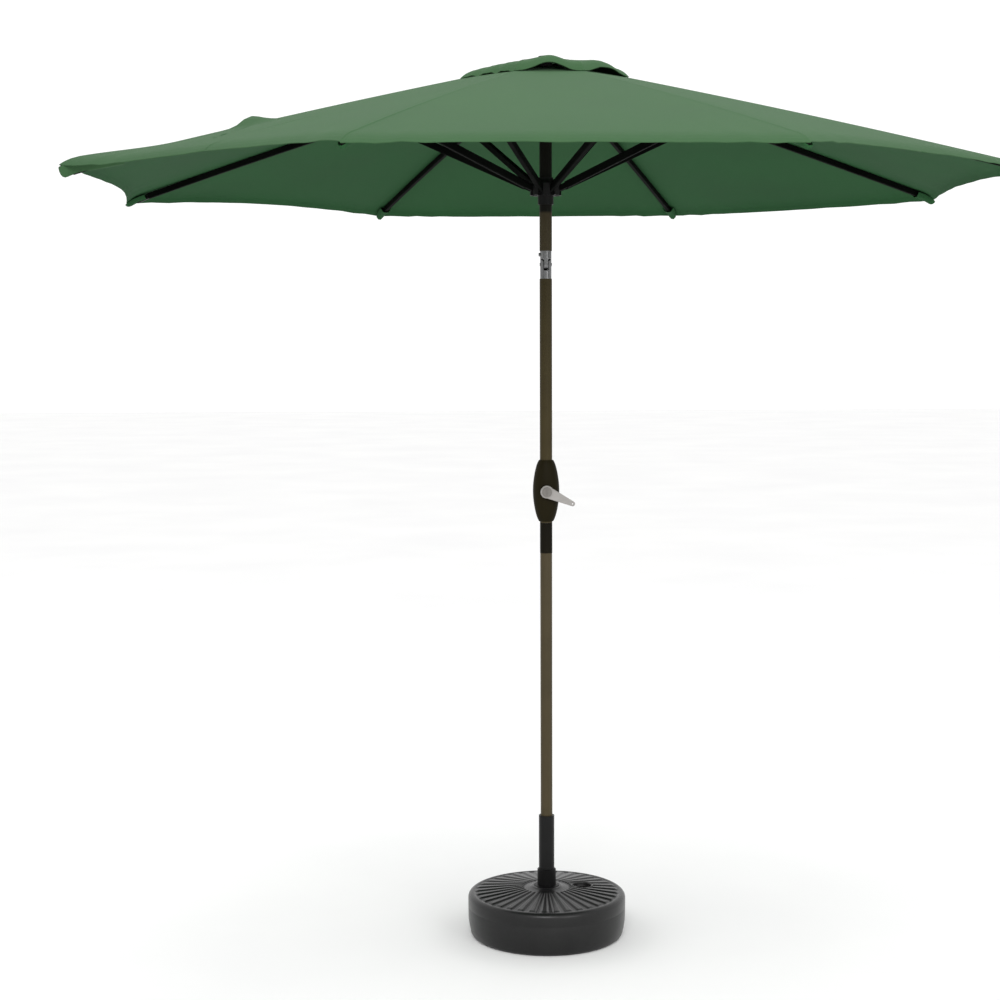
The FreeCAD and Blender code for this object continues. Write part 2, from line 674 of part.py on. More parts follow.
def rivet_spot():
    r = STRUT_JOINT_R + RIVET_OFFSET
    return r, rib_axis_z(r)


def rib():
    """Hollow rib with a solid eye at the crown and a hole for its bracket's rivet."""
    start, hollow_start = CROWN_PIVOT_R + 6.0, CROWN_PIVOT_R + 22.0
    outer = arc_through(rib_section(start, RIB_TALL, RIB_WIDE), start, RIB_END_R)
    bore_section = rib_section(hollow_start, RIB_TALL - 2 * RIB_WALL, RIB_WIDE - 2 * RIB_WALL)
    inner = arc_through(bore_section, hollow_start, RIB_END_R + 4)
    half = RIB_WIDE / 2.0
    near, far = Vector(CROWN_PIVOT_R, -half, CROWN_PIVOT_Z), Vector(CROWN_PIVOT_R, half, CROWN_PIVOT_Z)
    body = outer.cut(inner).fuse(rod(RIB_TALL / 2.0, near, far))
    body = body.cut(drill(near, far, PIN_R + RUNNING))
    x, z = rivet_spot()
    return body.cut(rod(RIVET_R + RUNNING, Vector(x, -20, z), Vector(x, 20, z)))


def rib_bracket():
    """Two ears riveted to the rib, with the pin that carries the strut."""
    near = RIB_WIDE / 2.0 + 0.4
    far = near + 1.6
    low, high = STRUT_JOINT_Z - 9.0, rib_axis_z(STRUT_JOINT_R) + 2.0
    pieces = []
    for side in (-1, 1):
        y0, y1 = sorted((side * near, side * far))
        ear = block(STRUT_JOINT_R - 16, STRUT_JOINT_R + 16, y0, y1, low, high)
        ear = rounded(ear, 6.0, lambda e: e.BoundBox.YLength > 1.0 and abs(e.BoundBox.ZMin - low) < 0.01)
        pieces.append(ear)
    pin_end = far + 1.4
    start = Vector(STRUT_JOINT_R, -pin_end, STRUT_JOINT_Z)
    pieces.append(rod(PIN_R, start, Vector(STRUT_JOINT_R, pin_end, STRUT_JOINT_Z)))
    x, z = rivet_spot()
    pieces.append(rod(RIVET_R, Vector(x, -far - 1.2, z), Vector(x, far + 1.2, z)))
    return pieces[0].multiFuse(pieces[1:])


def rib_tip():
    """Tapering cap with a tongue inside the rib's end."""
    start = RIB_END_R + 0.3
    tip = CANOPY_R - 10.0
    near = rib_section(start, RIB_TALL - 1.0, RIB_WIDE)
    far = rib_section(tip, 7.0, 8.0)
    far.translate(Vector(0, 0, -6.5))
    nose = Part.makeLoft([near.OuterWire, far.OuterWire], True)
    clear = 2 * RIB_WALL + 0.4
    root = RIB_END_R - 24
    tongue = arc_through(rib_section(root, RIB_TALL - clear, RIB_WIDE - clear), root, start + 2)
    return nose.fuse(tongue)


def strut():
    """Hollow bar, necked down to an eye at the rib and to a foot with trunnions at the runner."""
    foot = Vector(RUNNER_PIVOT_R, 0, RUNNER_PIVOT_Z)
    run = Vector(STRUT_JOINT_R, 0, STRUT_JOINT_Z).sub(foot)
    length = run.Length
    half_tall, half_wide = STRUT_TALL / 2.0, STRUT_WIDE / 2.0
    eye_half = STRUT_EYE_WIDE / 2.0
    neck = block(0, length, -eye_half, eye_half, -STRUT_EYE_R, STRUT_EYE_R)
    neck = rounded(neck, 2.0, lambda e: e.BoundBox.XLength > 100)
    bar = block(STRUT_NECK, length - STRUT_NECK, -half_wide, half_wide, -half_tall, half_tall)
    bar = rounded(bar, 2.5, lambda e: e.BoundBox.XLength > 100)
    wall = 0.9
    hollow = block(
        STRUT_NECK + 6, length - STRUT_NECK - 6,
        -half_wide + wall, half_wide - wall, -half_tall + wall, half_tall - wall,
    )
    eyes = [rod(STRUT_EYE_R, Vector(x, -eye_half, 0), Vector(x, eye_half, 0)) for x in (0, length)]
    trunnion = rod(PIN_R, Vector(0, -TRUNNION_HALF, 0), Vector(0, TRUNNION_HALF, 0))
    piece = bar.multiFuse([neck] + eyes + [trunnion]).cut(hollow)
    piece = piece.cut(rod(PIN_R + RUNNING, Vector(length, -20, 0), Vector(length, 20, 0)))
    piece.rotate(AXIS, Vector(0, 1, 0), -math.degrees(math.atan2(run.z, run.x)))
    piece.translate(foot)
    return piece


# ---------------------------------------------------------------- canopy
def ridge_z(r):
    """Top of the fabric along a rib."""
    z = rib_axis_z(r) + FABRIC_ABOVE_AXIS
    if r > TIP_DROP_FROM:
        z -= TIP_DROP * (r - TIP_DROP_FROM) ** 2
    return z


def panel_point(r, share, inset, z):
    """Point on the chord from a rib to the next panel's middle; inset draws the middle in."""
    half = math.radians(GORE_HALF)
    x_flat = r * math.cos(half) - inset * share
    back = r * math.sin(half) * (1.0 - share)
    x = x_flat * math.cos(half) + back * math.sin(half)
    y = x_flat * math.sin(half) - back * math.cos(half)
    return Vector(x, y, z)


def canopy_point(r, share):
    """Point of the top face: r along the rib, share 0 on the rib to 1 half-way to the next rib."""
    bow = share * (2.0 - share)
    inset = HEM_SCALLOP * (r / CANOPY_R) ** 6 * (2.0 - share)
    return panel_point(r, share, inset, ridge_z(r) + PANEL_RISE * (r / CANOPY_R) ** 2 * bow)


def vent_point(r, share):
    turn_down = VENT_TURN * max(0.0, r - VENT_TURN_FROM) ** 2
    arch = VENT_ARCH * (r / VENT_OUT_R) ** 2 * share * (2.0 - share)
    return panel_point(r, share, 0.0, VENT_TOP_Z - VENT_SLOPE * r - turn_down + arch)


def sheet_solid(point, radii, shares):
    """Closed thin solid under a grid of top points, on one side of the rib."""
    rows = [[point(r, share) for share in shares] for r in radii]
    under = [[Vector(p.x, p.y, p.z - FABRIC) for p in row] for row in rows]
    faces = []

    def quad(a, b, c, d):
        for corners in ((a, b, c), (a, c, d)):
            faces.append(Part.Face(Part.makePolygon(list(corners) + [corners[0]])))

    last_row, last_col = len(rows) - 1, len(shares) - 1
    for i in range(last_row):
        for j in range(last_col):
            quad(rows[i][j], rows[i + 1][j], rows[i + 1][j + 1], rows[i][j + 1])
            quad(under[i][j], under[i][j + 1], under[i + 1][j + 1], under[i + 1][j])
        quad(rows[i][0], under[i][0], under[i + 1][0], rows[i + 1][0])
        quad(rows[i][last_col], rows[i + 1][last_col], under[i + 1][last_col], under[i][last_col])
    for j in range(last_col):
        quad(rows[0][j], rows[0][j + 1], under[0][j + 1], under[0][j])
        quad(rows[last_row][j], under[last_row][j], under[last_row][j + 1], rows[last_row][j + 1])
    solid = Part.makeSolid(Part.makeShell(faces))
    if solid.Volume < 0:
        solid.reverse()
    return solid


def side_trim(half_gore):
    """Take a hair off both side edges, so that neighbouring sheets stay apart."""
    at_rib = block(0, 1500, -1, SHEET_GAP, 2000, 2600)
    at_middle = block(-50, 1500, -SHEET_GAP, 40, 2000, 2600)
    at_middle.rotate(AXIS, UP, GORE_HALF)
    return half_gore.cut(at_rib).cut(at_middle)


def canopy_gore():
    """Left and right halves of one rib's main sheet and of its vent sheet."""
    main_radii = (FABRIC_IN_R, 300.0, 480.0, 660.0, 840.0, 1020.0, 1160.0, 1280.0, 1310.0, CANOPY_R)
    vent_radii = (VENT_IN_R, 120.0, VENT_TURN_FROM, 225.0, VENT_OUT_R)
    shares = (0.0, 0.5, 1.0)
    halves = []
    for point, radii in ((canopy_point, main_radii), (vent_point, vent_radii)):
        half_gore = side_trim(sheet_solid(point, radii, shares))
        halves += [half_gore, half_gore.mirror(AXIS, Vector(0, 1, 0))]
    return halves


def build_canopy():
    one_rib, one_strut = rib(), strut()
    fittings, gore = (rib_bracket(), rib_tip()), canopy_gore()
    for k in range(RIB_COUNT):
        azimuth = rib_azimuth(k)
        number = "_" + str(k + 1)
        save("rib" + number, at_azimuth(one_rib, azimuth))
        save("rib_fittings" + number, *[at_azimuth(piece, azimuth) for piece in fittings])
        save("strut" + number, at_azimuth(one_strut, azimuth))
        save("canopy_gore" + number, *[at_azimuth(piece, azimuth) for piece in gore])


def main():
    os.makedirs("parts", exist_ok=True)
    build_base()
    build_lower_pole()
    build_upper_pole()
    build_housing()
    build_crank()
    build_knuckle()
    build_mast()
    save("runner_hub", runner_hub())
    build_canopy()


main()
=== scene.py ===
import json
import math

import bpy
import numpy as np
from mathutils import Euler, Matrix, Vector, noise

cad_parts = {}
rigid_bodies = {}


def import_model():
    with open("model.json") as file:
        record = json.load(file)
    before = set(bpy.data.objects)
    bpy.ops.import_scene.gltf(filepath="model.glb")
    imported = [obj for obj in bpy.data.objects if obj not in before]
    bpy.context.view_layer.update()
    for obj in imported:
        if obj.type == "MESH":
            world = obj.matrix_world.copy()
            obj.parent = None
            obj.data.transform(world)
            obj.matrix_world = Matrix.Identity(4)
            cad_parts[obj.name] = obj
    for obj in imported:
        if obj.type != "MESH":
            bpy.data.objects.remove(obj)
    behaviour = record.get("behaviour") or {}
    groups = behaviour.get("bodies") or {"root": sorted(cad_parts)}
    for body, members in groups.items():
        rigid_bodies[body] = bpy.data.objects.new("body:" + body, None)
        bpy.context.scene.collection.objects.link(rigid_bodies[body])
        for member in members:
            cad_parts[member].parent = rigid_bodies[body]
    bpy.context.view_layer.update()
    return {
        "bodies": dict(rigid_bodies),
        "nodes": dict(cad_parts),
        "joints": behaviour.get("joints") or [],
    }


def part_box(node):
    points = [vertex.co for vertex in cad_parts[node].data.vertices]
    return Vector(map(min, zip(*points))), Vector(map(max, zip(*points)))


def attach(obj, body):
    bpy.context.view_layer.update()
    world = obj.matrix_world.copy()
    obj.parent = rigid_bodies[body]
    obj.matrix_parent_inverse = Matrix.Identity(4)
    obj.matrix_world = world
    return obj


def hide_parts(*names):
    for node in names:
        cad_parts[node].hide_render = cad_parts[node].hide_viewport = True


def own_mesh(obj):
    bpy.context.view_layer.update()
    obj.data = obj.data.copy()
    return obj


# A green eight-rib patio umbrella on a round fluted base. Metres, in the frame's own axes:
# +Z up the pole, the crank and one canopy panel towards -Y.

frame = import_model()

MM = 0.001

# ---------------------------------------------------------------- places taken from the frame
JOINTS = {joint["name"]: joint for joint in frame["joints"]}
RIB_COUNT = sum(1 for name in frame["bodies"] if name.startswith("rib_"))


def hinge_place(name):
    return Vector(JOINTS[name]["pos_m"])


CROWN_PIVOT = hinge_place("rib_1_fold")
PIVOT_R = math.hypot(CROWN_PIVOT.x, CROWN_PIVOT.y)
PIVOT_Z = CROWN_PIVOT.z


def farthest_reach(node):
    return max(math.hypot(v.co.x, v.co.y) for v in frame["nodes"][node].data.vertices)


CANOPY_R = farthest_reach("canopy_gore_1")


def rib_azimuth(k):
    """Azimuth of rib k (0 to 7), from -Y towards +X; it goes on growing past a full turn."""
    first = math.atan2(CROWN_PIVOT.x, -CROWN_PIVOT.y)
    return first + k * 2.0 * math.pi / RIB_COUNT


# ---------------------------------------------------------------- mesh helpers
def mesh_object(name, points, faces, material, uvs=None, smooth=True, second=None, sharp=None):
    """Mesh piece from points and faces; uvs maps a layer's name to one (u, v) per point.

    second is (material, from_face, to_face); sharp holds the vertex pairs of crisp edges.
    """
    mesh = bpy.data.meshes.new(name)
    mesh.from_pydata([tuple(p) for p in points], [], faces)
    mesh.validate()
    if uvs:
        loops = np.zeros(len(mesh.loops), np.int32)
        mesh.loops.foreach_get("vertex_index", loops)
        for layer_name, values in uvs.items():
            layer = mesh.uv_layers.new(name=layer_name)
            layer.data.foreach_set("uv", np.asarray(values, np.float32)[loops].ravel())
    mesh.polygons.foreach_set("use_smooth", [smooth] * len(mesh.polygons))
    mesh.materials.append(material)
    if second:
        other, first_face, last_face = second
        mesh.materials.append(other)
        chosen = [1 if first_face <= i < last_face else 0 for i in range(len(mesh.polygons))]
        mesh.polygons.foreach_set("material_index", chosen)
    if sharp:
        pairs = {tuple(sorted(pair)) for pair in sharp}
        crisp = mesh.attributes.new("sharp_edge", "BOOLEAN", "EDGE")
        crisp.data.foreach_set("value", [tuple(sorted(edge.vertices)) in pairs for edge in mesh.edges])
    mesh.update()
    piece = bpy.data.objects.new(name, mesh)
    bpy.context.scene.collection.objects.link(piece)
    return piece


def smoothstep(low, high, x):
    t = np.clip((x - low) / (high - low), 0.0, 1.0)
    return t * t * (3.0 - 2.0 * t)


def grid_faces(rows, cols, offset=0, flip=False, wrap=False):
    faces = []
    last = cols if wrap else cols - 1
    for i in range(rows - 1):
        for j in range(last):
            a = offset + i * cols + j
            b = offset + i * cols + (j + 1) % cols
            quad = (a, b, b + cols, a + cols)
            faces.append(quad[::-1] if flip else quad)
    return faces


def thin_solid(name, top, thickness, material, uvs, shaded_under=None):
    """Closed sheet: a grid of top points, the same grid pushed in by its thickness, and four edges; the
    under faces can take a second, darker cloth, as painted shade.
    """
    rows, cols, _ = top.shape
    along = np.gradient(top, axis=0)
    across = np.gradient(top, axis=1)
    normal = np.cross(along, across)
    normal /= np.maximum(np.linalg.norm(normal, axis=2, keepdims=True), 1e-12)
    if normal[..., 2].mean() < 0:
        normal = -normal
    under = top - normal * thickness[..., None]
    count = rows * cols
    points = np.concatenate([top.reshape(-1, 3), under.reshape(-1, 3)])
    faces = grid_faces(rows, cols) + grid_faces(rows, cols, count, flip=True)
    rim = [(i, 0) for i in range(rows)]
    rim += [(rows - 1, j) for j in range(1, cols)]
    rim += [(i, cols - 1) for i in range(rows - 2, -1, -1)]
    rim += [(0, j) for j in range(cols - 2, 0, -1)]
    ring = [i * cols + j for i, j in rim]
    around = list(zip(ring, ring[1:] + ring[:1]))
    faces += [(a, b, b + count, a + count) for a, b in around]
    sharp = around + [(a + count, b + count) for a, b in around]
    doubled = {layer: np.concatenate([v.reshape(-1, 2)] * 2) for layer, v in uvs.items()}
    quads = (rows - 1) * (cols - 1)
    second = (shaded_under, quads, 2 * quads) if shaded_under else None
    return mesh_object(name, points, faces, material, doubled, second=second, sharp=sharp)


def lathe(name, outline, material, steps, centre=(0.0, 0.0)):
    """Turned piece from (r, z) points about a vertical axis, open where its outline is."""
    x0, y0 = centre
    points = []
    for r, z in outline:
        for s in range(steps):
            turn = 2.0 * math.pi * s / steps
            points.append((x0 + r * math.cos(turn), y0 + r * math.sin(turn), z))
    return mesh_object(name, points, grid_faces(len(outline), steps, wrap=True), material)


# ---------------------------------------------------------------- materials
class Nodes:
    """Small helper around one material's node tree."""

    def __init__(self, name):
        self.material = bpy.data.materials.new(name)
        self.material.use_nodes = True
        self.tree = self.material.node_tree
        self.shader = self.tree.nodes["Principled BSDF"]

    def add(self, kind, **settings):
        node = self.tree.nodes.new(kind)
        for key, value in settings.items():
            setattr(node, key, value)
        return node

    def link(self, source, target):
        self.tree.links.new(source, target)

    def set(self, **values):
        for key, value in values.items():
            self.shader.inputs[key.replace("_", " ")].default_value = value

    def coordinates(self, layer=None):
        if layer:
            return self.add("ShaderNodeUVMap", uv_map=layer).outputs["UV"]
        return self.add("ShaderNodeTexCoord").outputs["Object"]

    def noise(self, coordinates, scale, detail=4.0, roughness=0.55, stretch=None):
        node = self.add("ShaderNodeTexNoise")
        node.inputs["Scale"].default_value = scale
        node.inputs["Detail"].default_value = detail
        node.inputs["Roughness"].default_value = roughness
        if stretch:
            mapping = self.add("ShaderNodeMapping")
            mapping.inputs["Scale"].default_value = stretch
            self.link(coordinates, mapping.inputs["Vector"])
            coordinates = mapping.outputs["Vector"]
        self.link(coordinates, node.inputs["Vector"])
        return node.outputs["Fac"]

    def ramp(self, factor, stops):
        node = self.add("ShaderNodeValToRGB")
        elements = node.color_ramp.elements
        while len(elements) < len(stops):
            elements.new(0.5)
        for element, (position, colour) in zip(elements, stops):
            element.position = position
            element.color = (*colour, 1.0)
        self.link(factor, node.inputs["Fac"])
        return node.outputs["Color"]

    def math(self, operation, a, b=None):
        node = self.add("ShaderNodeMath", operation=operation)
        for socket, value in zip(node.inputs, (a, b)):
            if value is None:
                continue
            if isinstance(value, (int, float)):
                socket.default_value = value
            else:
                self.link(value, socket)
        return node.outputs[0]

    def range(self, value, low, high, out_low, out_high):
        node = self.add("ShaderNodeMapRange")
        limits = {"From Min": low, "From Max": high, "To Min": out_low, "To Max": out_high}
        for key, number in limits.items():
            node.inputs[key].default_value = number
        self.link(value, node.inputs["Value"])
        return node.outputs["Result"]

    def mix(self, factor, a, b):
        node = self.add("ShaderNodeMix", data_type="RGBA", blend_type="MIX")
        for socket, value in ((node.inputs[0], factor), (node.inputs[6], a), (node.inputs[7], b)):
            if isinstance(value, (int, float)):
                socket.default_value = value
            elif isinstance(value, tuple):
                socket.default_value = (*value, 1.0)
            else:
                self.link(value, socket)
        return node.outputs[2]

    def colour(self, socket):
        self.link(socket, self.shader.inputs["Base Color"])

    def roughness(self, socket):
        self.link(socket, self.shader.inputs["Roughness"])

    def bump(self, height, distance, strength=1.0, after=None):
        node = self.add("ShaderNodeBump")
        node.inputs["Strength"].default_value = strength
        node.inputs["Distance"].default_value = distance
        self.link(height, node.inputs["Height"])
        if after is not None:
            self.link(after, node.inputs["Normal"])
        self.link(node.outputs["Normal"], self.shader.inputs["Normal"])
        return node.outputs["Normal"]


THREAD_PITCH = 1.4 * MM
SEAM_STITCH_AT = 3.2 * MM     # stitch lines' distances from the rib seam and from the hem
HEM_STITCH_AT = 15.0 * MM
STITCH_PITCH = 4.2 * MM
STITCH_DUTY = 0.62            # dash's share of the pitch
STITCH_HALF_WIDE = 0.45 * MM
GROOVE_HALF_WIDE = 1.6 * MM


def stitch_mask(nodes, distance, along, centre):
    """1 on the dashes of a stitch line at a given distance from an edge."""
    off = nodes.math("ABSOLUTE", nodes.math("SUBTRACT", distance, centre))
    line = nodes.math("LESS_THAN", off, STITCH_HALF_WIDE)
    phase = nodes.math("FRACT", nodes.math("DIVIDE", along, STITCH_PITCH))
    dash = nodes.math("LESS_THAN", phase, STITCH_DUTY)
    return nodes.math("MULTIPLY", line, dash)


def canopy_cloth(name, dark, light, sheen):
    """Solution-dyed polyester: plain weave, slight fading, stitched hem and rib seams, and painted shade in
    the hem's stitch groove.
    """
    n = Nodes(name)
    cloth = n.coordinates("Cloth")
    edge = n.add("ShaderNodeSeparateXYZ")
    n.link(n.coordinates("Edge"), edge.inputs[0])
    weave_uv = n.add("ShaderNodeSeparateXYZ")
    n.link(cloth, weave_uv.inputs[0])
    thread = 2.0 * math.pi / THREAD_PITCH
    warp = n.math("SINE", n.math("MULTIPLY", weave_uv.outputs[0], thread))
    weft = n.math("SINE", n.math("MULTIPLY", weave_uv.outputs[1], thread))
    weave = n.math("MULTIPLY", warp, weft)
    cloud = n.noise(n.coordinates(), 2.6, 3.0)
    slub = n.noise(cloth, 420.0, 2.0, stretch=(0.05, 1.0, 1.0))
    deep = tuple(0.55 * c for c in dark)
    base = n.ramp(cloud, [(0.30, dark), (0.70, light)])
    base = n.mix(n.range(slub, 0.35, 0.65, 0.0, 0.14), base, deep)
    base = n.mix(n.range(weave, -1.0, 1.0, 0.0, 0.10), base, deep)
    seam = stitch_mask(n, edge.outputs[0], weave_uv.outputs[1], SEAM_STITCH_AT)
    hem = stitch_mask(n, edge.outputs[1], weave_uv.outputs[0], HEM_STITCH_AT)
    thread_mask = n.math("MAXIMUM", seam, hem)
    groove_off = n.math("ABSOLUTE", n.math("SUBTRACT", edge.outputs[1], HEM_STITCH_AT))
    groove_and_painted_shade = n.range(groove_off, 0.0, GROOVE_HALF_WIDE, 1.0, 0.0)
    # Painted shade: the hem's stitch groove is darkened in colour, besides its bump.
    base = n.mix(n.math("MULTIPLY", groove_and_painted_shade, 0.22), base, deep)
    n.colour(n.mix(n.math("MULTIPLY", thread_mask, 0.5), base, tuple(1.25 * c for c in light)))
    n.roughness(n.range(cloud, 0.3, 0.7, 0.78, 0.88))
    first = n.bump(weave, 0.12 * MM, 0.35)
    second = n.bump(slub, 0.25 * MM, 0.30, first)
    n.bump(n.math("SUBTRACT", thread_mask, groove_and_painted_shade), 0.5 * MM, 0.5, second)
    n.set(Sheen_Weight=sheen, Sheen_Roughness=0.5, Specular_IOR_Level=0.10)
    n.shader.inputs["Sheen Tint"].default_value = (0.75, 1.0, 0.78, 1.0)
    return n.material


def coated_metal(name, dark, light, rough=0.42, speckle=0.25, shine=0.2, shade_painted_above=None):
    """Powder-coated tube: faint orange peel, mottled colour, a few dull rubs.

    Above the height given last, the colour is painted near black: painted shade under the canopy.
    """
    n = Nodes(name)
    body = n.coordinates()
    cloud = n.noise(body, 9.0, 5.0)
    peel = n.noise(body, 620.0, 2.0)
    rubs = n.noise(body, 24.0, 6.0, 0.7, stretch=(1.0, 1.0, 0.12))
    base = n.ramp(cloud, [(0.32, dark), (0.68, light)])
    worn = tuple(min(1.0, c * 1.7 + 0.01) for c in light)
    base = n.mix(n.range(rubs, 0.62, 0.80, 0.0, speckle), base, worn)
    if shade_painted_above:
        height = n.add("ShaderNodeSeparateXYZ")
        n.link(body, height.inputs[0])
        # Painted shade: the tube turns near black above the given height, as under the canopy.
        painted_shade_top = n.range(height.outputs[2], shade_painted_above - 4 * MM, shade_painted_above + 4 * MM, 0.0, 0.93)
        base = n.mix(painted_shade_top, base, (0.001, 0.0012, 0.001))
    n.colour(base)
    n.roughness(n.range(rubs, 0.3, 0.75, rough - 0.06, rough + 0.12))
    n.bump(peel, 0.10 * MM, 0.30)
    n.set(Specular_IOR_Level=shine)
    return n.material


def moulded_plastic(name, dark, light, rough=0.5, grain=900.0, depth=0.10, shine=0.2):
    """Textured moulding: fine spark grain with faint flow marks."""
    n = Nodes(name)
    body = n.coordinates()
    flow = n.noise(body, 14.0, 4.0, stretch=(1.0, 1.0, 0.4))
    spark = n.noise(body, grain, 3.0, 0.6)
    n.colour(n.ramp(flow, [(0.30, dark), (0.72, light)]))
    n.roughness(n.range(spark, 0.35, 0.65, rough - 0.05, rough + 0.10))
    n.bump(spark, depth * MM, 0.35)
    n.set(Specular_IOR_Level=shine)
    return n.material


def bare_metal(name, colour, rough=0.32, brushed=(1.0, 1.0, 60.0)):
    """Cast or drawn metal with fine directional scratches."""
    n = Nodes(name)
    body = n.coordinates()
    scratch = n.noise(body, 160.0, 4.0, 0.6, stretch=brushed)
    cloud = n.noise(body, 40.0, 4.0)
    dark = tuple(c * 0.72 for c in colour)
    n.colour(n.ramp(cloud, [(0.3, dark), (0.7, colour)]))
    n.roughness(n.range(scratch, 0.3, 0.7, rough - 0.08, rough + 0.14))
    n.bump(scratch, 0.06 * MM, 0.35)
    n.set(Metallic=0.85)
    return n.material


def floor_paint():
    n = Nodes("floor_paint")
    cloud = n.noise(n.coordinates(), 0.8, 3.0)
    n.colour(n.ramp(cloud, [(0.3, (0.86, 0.86, 0.86)), (0.7, (0.90, 0.90, 0.895))]))
    n.roughness(n.range(cloud, 0.3, 0.7, 0.78, 0.88))
    return n.material


def grey(level):
    return (level, level, level)


CLOTH = canopy_cloth("canopy_cloth", (0.037, 0.092, 0.038), (0.046, 0.107, 0.046), 0.04)
# A darker copy of the canopy cloth: painted shade for the canopy's under faces and its tip pockets.
SHADED_UNDERSIDE = canopy_cloth("canopy_underside_painted_shade", (0.016, 0.065, 0.022), (0.021, 0.080, 0.028), 0.0)
BRONZE = coated_metal("bronze_coating", (0.034, 0.025, 0.009), (0.045, 0.034, 0.012), 0.46, shine=0.12)
# The mast is painted near black above 2.07 m: painted shade under the canopy.
MAST_BRONZE = coated_metal(
    "mast_coating_painted_shade", (0.038, 0.029, 0.015), (0.048, 0.038, 0.020), 0.46, shine=0.10, shade_painted_above=2.070
)
LOWER_BRONZE = coated_metal(
    "lower_bronze_coating", (0.039, 0.029, 0.0115), (0.051, 0.038, 0.016), 0.42, shine=0.22
)
RIB_BLACK = coated_metal(
    "rib_coating", (0.0020, 0.0024, 0.0020), (0.0040, 0.0046, 0.0040), 0.6, 0.05, shine=0.02
)
STEM_BLACK = coated_metal("stem_coating", grey(0.004), grey(0.007), 0.36, 0.08, shine=0.16)
BLACK_PLASTIC = moulded_plastic("black_plastic", grey(0.004), grey(0.008), 0.45, shine=0.12)
COLLAR_PLASTIC = moulded_plastic("collar_plastic", grey(0.002), grey(0.004), 0.40, shine=0.12)
JOINT_PLASTIC = moulded_plastic(
    "joint_plastic", (0.004, 0.003, 0.001), (0.007, 0.0055, 0.002), 0.5, shine=0.07
)
HOUSING_PLASTIC = moulded_plastic(
    "housing_plastic", (0.008, 0.006, 0.0015), (0.013, 0.010, 0.003), 0.5, shine=0.06
)
BASE_PLASTIC = moulded_plastic(
    "base_plastic", (0.0045, 0.0045, 0.0047), grey(0.0085), 0.30, 700.0, 0.10, shine=0.32
)
CRANK_PLASTIC = moulded_plastic(
    "crank_plastic", (0.25, 0.237, 0.225), (0.32, 0.304, 0.29), 0.36, 1100.0, 0.06, shine=0.4
)
CAP_PLASTIC = moulded_plastic(
    "crank_cap_plastic", (0.12, 0.11, 0.10), (0.20, 0.19, 0.18), 0.42, 1100.0, 0.06
)
NYLON = moulded_plastic("nylon", (0.55, 0.55, 0.51), (0.65, 0.65, 0.61), 0.45)
KNUCKLE = bare_metal("knuckle_casting", (0.190, 0.190, 0.192), 0.34)
STEEL = bare_metal("plated_steel", (0.30, 0.30, 0.31), 0.28)
SAND = moulded_plastic("sand_fill", (0.36, 0.28, 0.16), (0.50, 0.41, 0.27), 0.9, 1400.0, 0.8)

NODE_FINISH = {
    "base_shell": BASE_PLASTIC,
    "sand_ballast": SAND,
    "filler_plug": BLACK_PLASTIC,
    "base_stem": STEM_BLACK,
    "stem_collar": COLLAR_PLASTIC,
    "lower_pole": LOWER_BRONZE,
    "pole_foot_cap": BLACK_PLASTIC,
    "pole_joint_sleeve": JOINT_PLASTIC,
    "upper_pole": BRONZE,
    "pole_spigot": STEEL,
    "crank_housing_front": HOUSING_PLASTIC,
    "crank_housing_back": HOUSING_PLASTIC,
    "housing_screws": STEEL,
    "spool_bushings": NYLON,
    "cord_spool": STEEL,
    "crank_handle": CRANK_PLASTIC,
    "crank_cap": CAP_PLASTIC,
    "tilt_fork": KNUCKLE,
    "tilt_tongue": KNUCKLE,
    "tilt_pin": STEEL,
    "tilt_button": KNUCKLE,
    "button_spring": STEEL,
    "mast_tube": MAST_BRONZE,
    "crown_hub": BLACK_PLASTIC,
    "crown_pins": STEEL,
    "cord_pulley": NYLON,
    "crown_cap": BLACK_PLASTIC,
    "runner_hub": BLACK_PLASTIC,
}


def finish_for(node):
    if node in NODE_FINISH:
        return NODE_FINISH[node]
    if node.startswith("rib_fittings"):
        return BLACK_PLASTIC
    if node.startswith(("rib_", "strut_")):
        return RIB_BLACK
    return CLOTH


def paint_nodes():
    for name, node in frame["nodes"].items():
        node.data.materials.clear()
        node.data.materials.append(finish_for(name))


# ---------------------------------------------------------------- canopy shape
RIB_SLOPE = 0.228             # the ribs' shallow arc, as the frame has it: slope at the crown
RIB_BEND = 0.0195             # and the extra fall per square metre
CLOTH_OVER_RIB = 11.0 * MM    # cloth's top face above the rib's centre line
TIP_FROM = 1.280              # from here the corner wraps down over the rib's tip
TIP_DROP = 4.56
SCALLOPS = (30, 32, 40, 34, 34, 34, 20, 32)   # each panel's hem drawn in, mm, front panel first
HEM_RISES = (5, 17, 11, -8, -4, 13, 11, 20)    # each panel's hem above a level chord, mm
STEEP_PANELS = {1: (0.5, 1.1), 7: (2.2, 0.4)}   # under 1, a hem leaves that rib steeply
CORNER_REACH = (0, 0, 0, 0, 0, 0, 30, 26)     # how far each corner's cloth runs past its rib, mm
CORNER_LIFT = (0, 0, 0, 0, 0, 0, 2, 24)       # and how far it stands off the rib's tip, mm
CORNER_FROM = 1.05            # radius where a corner's reach and lift begin
CORNER_FALL = 0.27            # the cloth's slope along that reach
PUFF_RIB, PUFF_R, PUFF_RISE = 7, 0.858, 21 * MM       # slack cloth that stands up on one rib
PUFF_LONG, PUFF_WIDE = 0.030, 0.070
CREASE_DEEP, CREASE_WIDE = 5.0 * MM, 0.012
CLOTH_THICK = 1.1 * MM
CLOTH_SLOPE = 0.26            # mean slope, for the cloth's length along its rib
HEM_WIDE = 17 * MM
SEAM_HALF = 4.5 * MM
SEAM_LIFT = 0.35 * MM
HEM_LIFT = 0.5 * MM
HEM_EXTRA = 1.0 * MM          # the turned-under hem adds this to the cloth's thickness
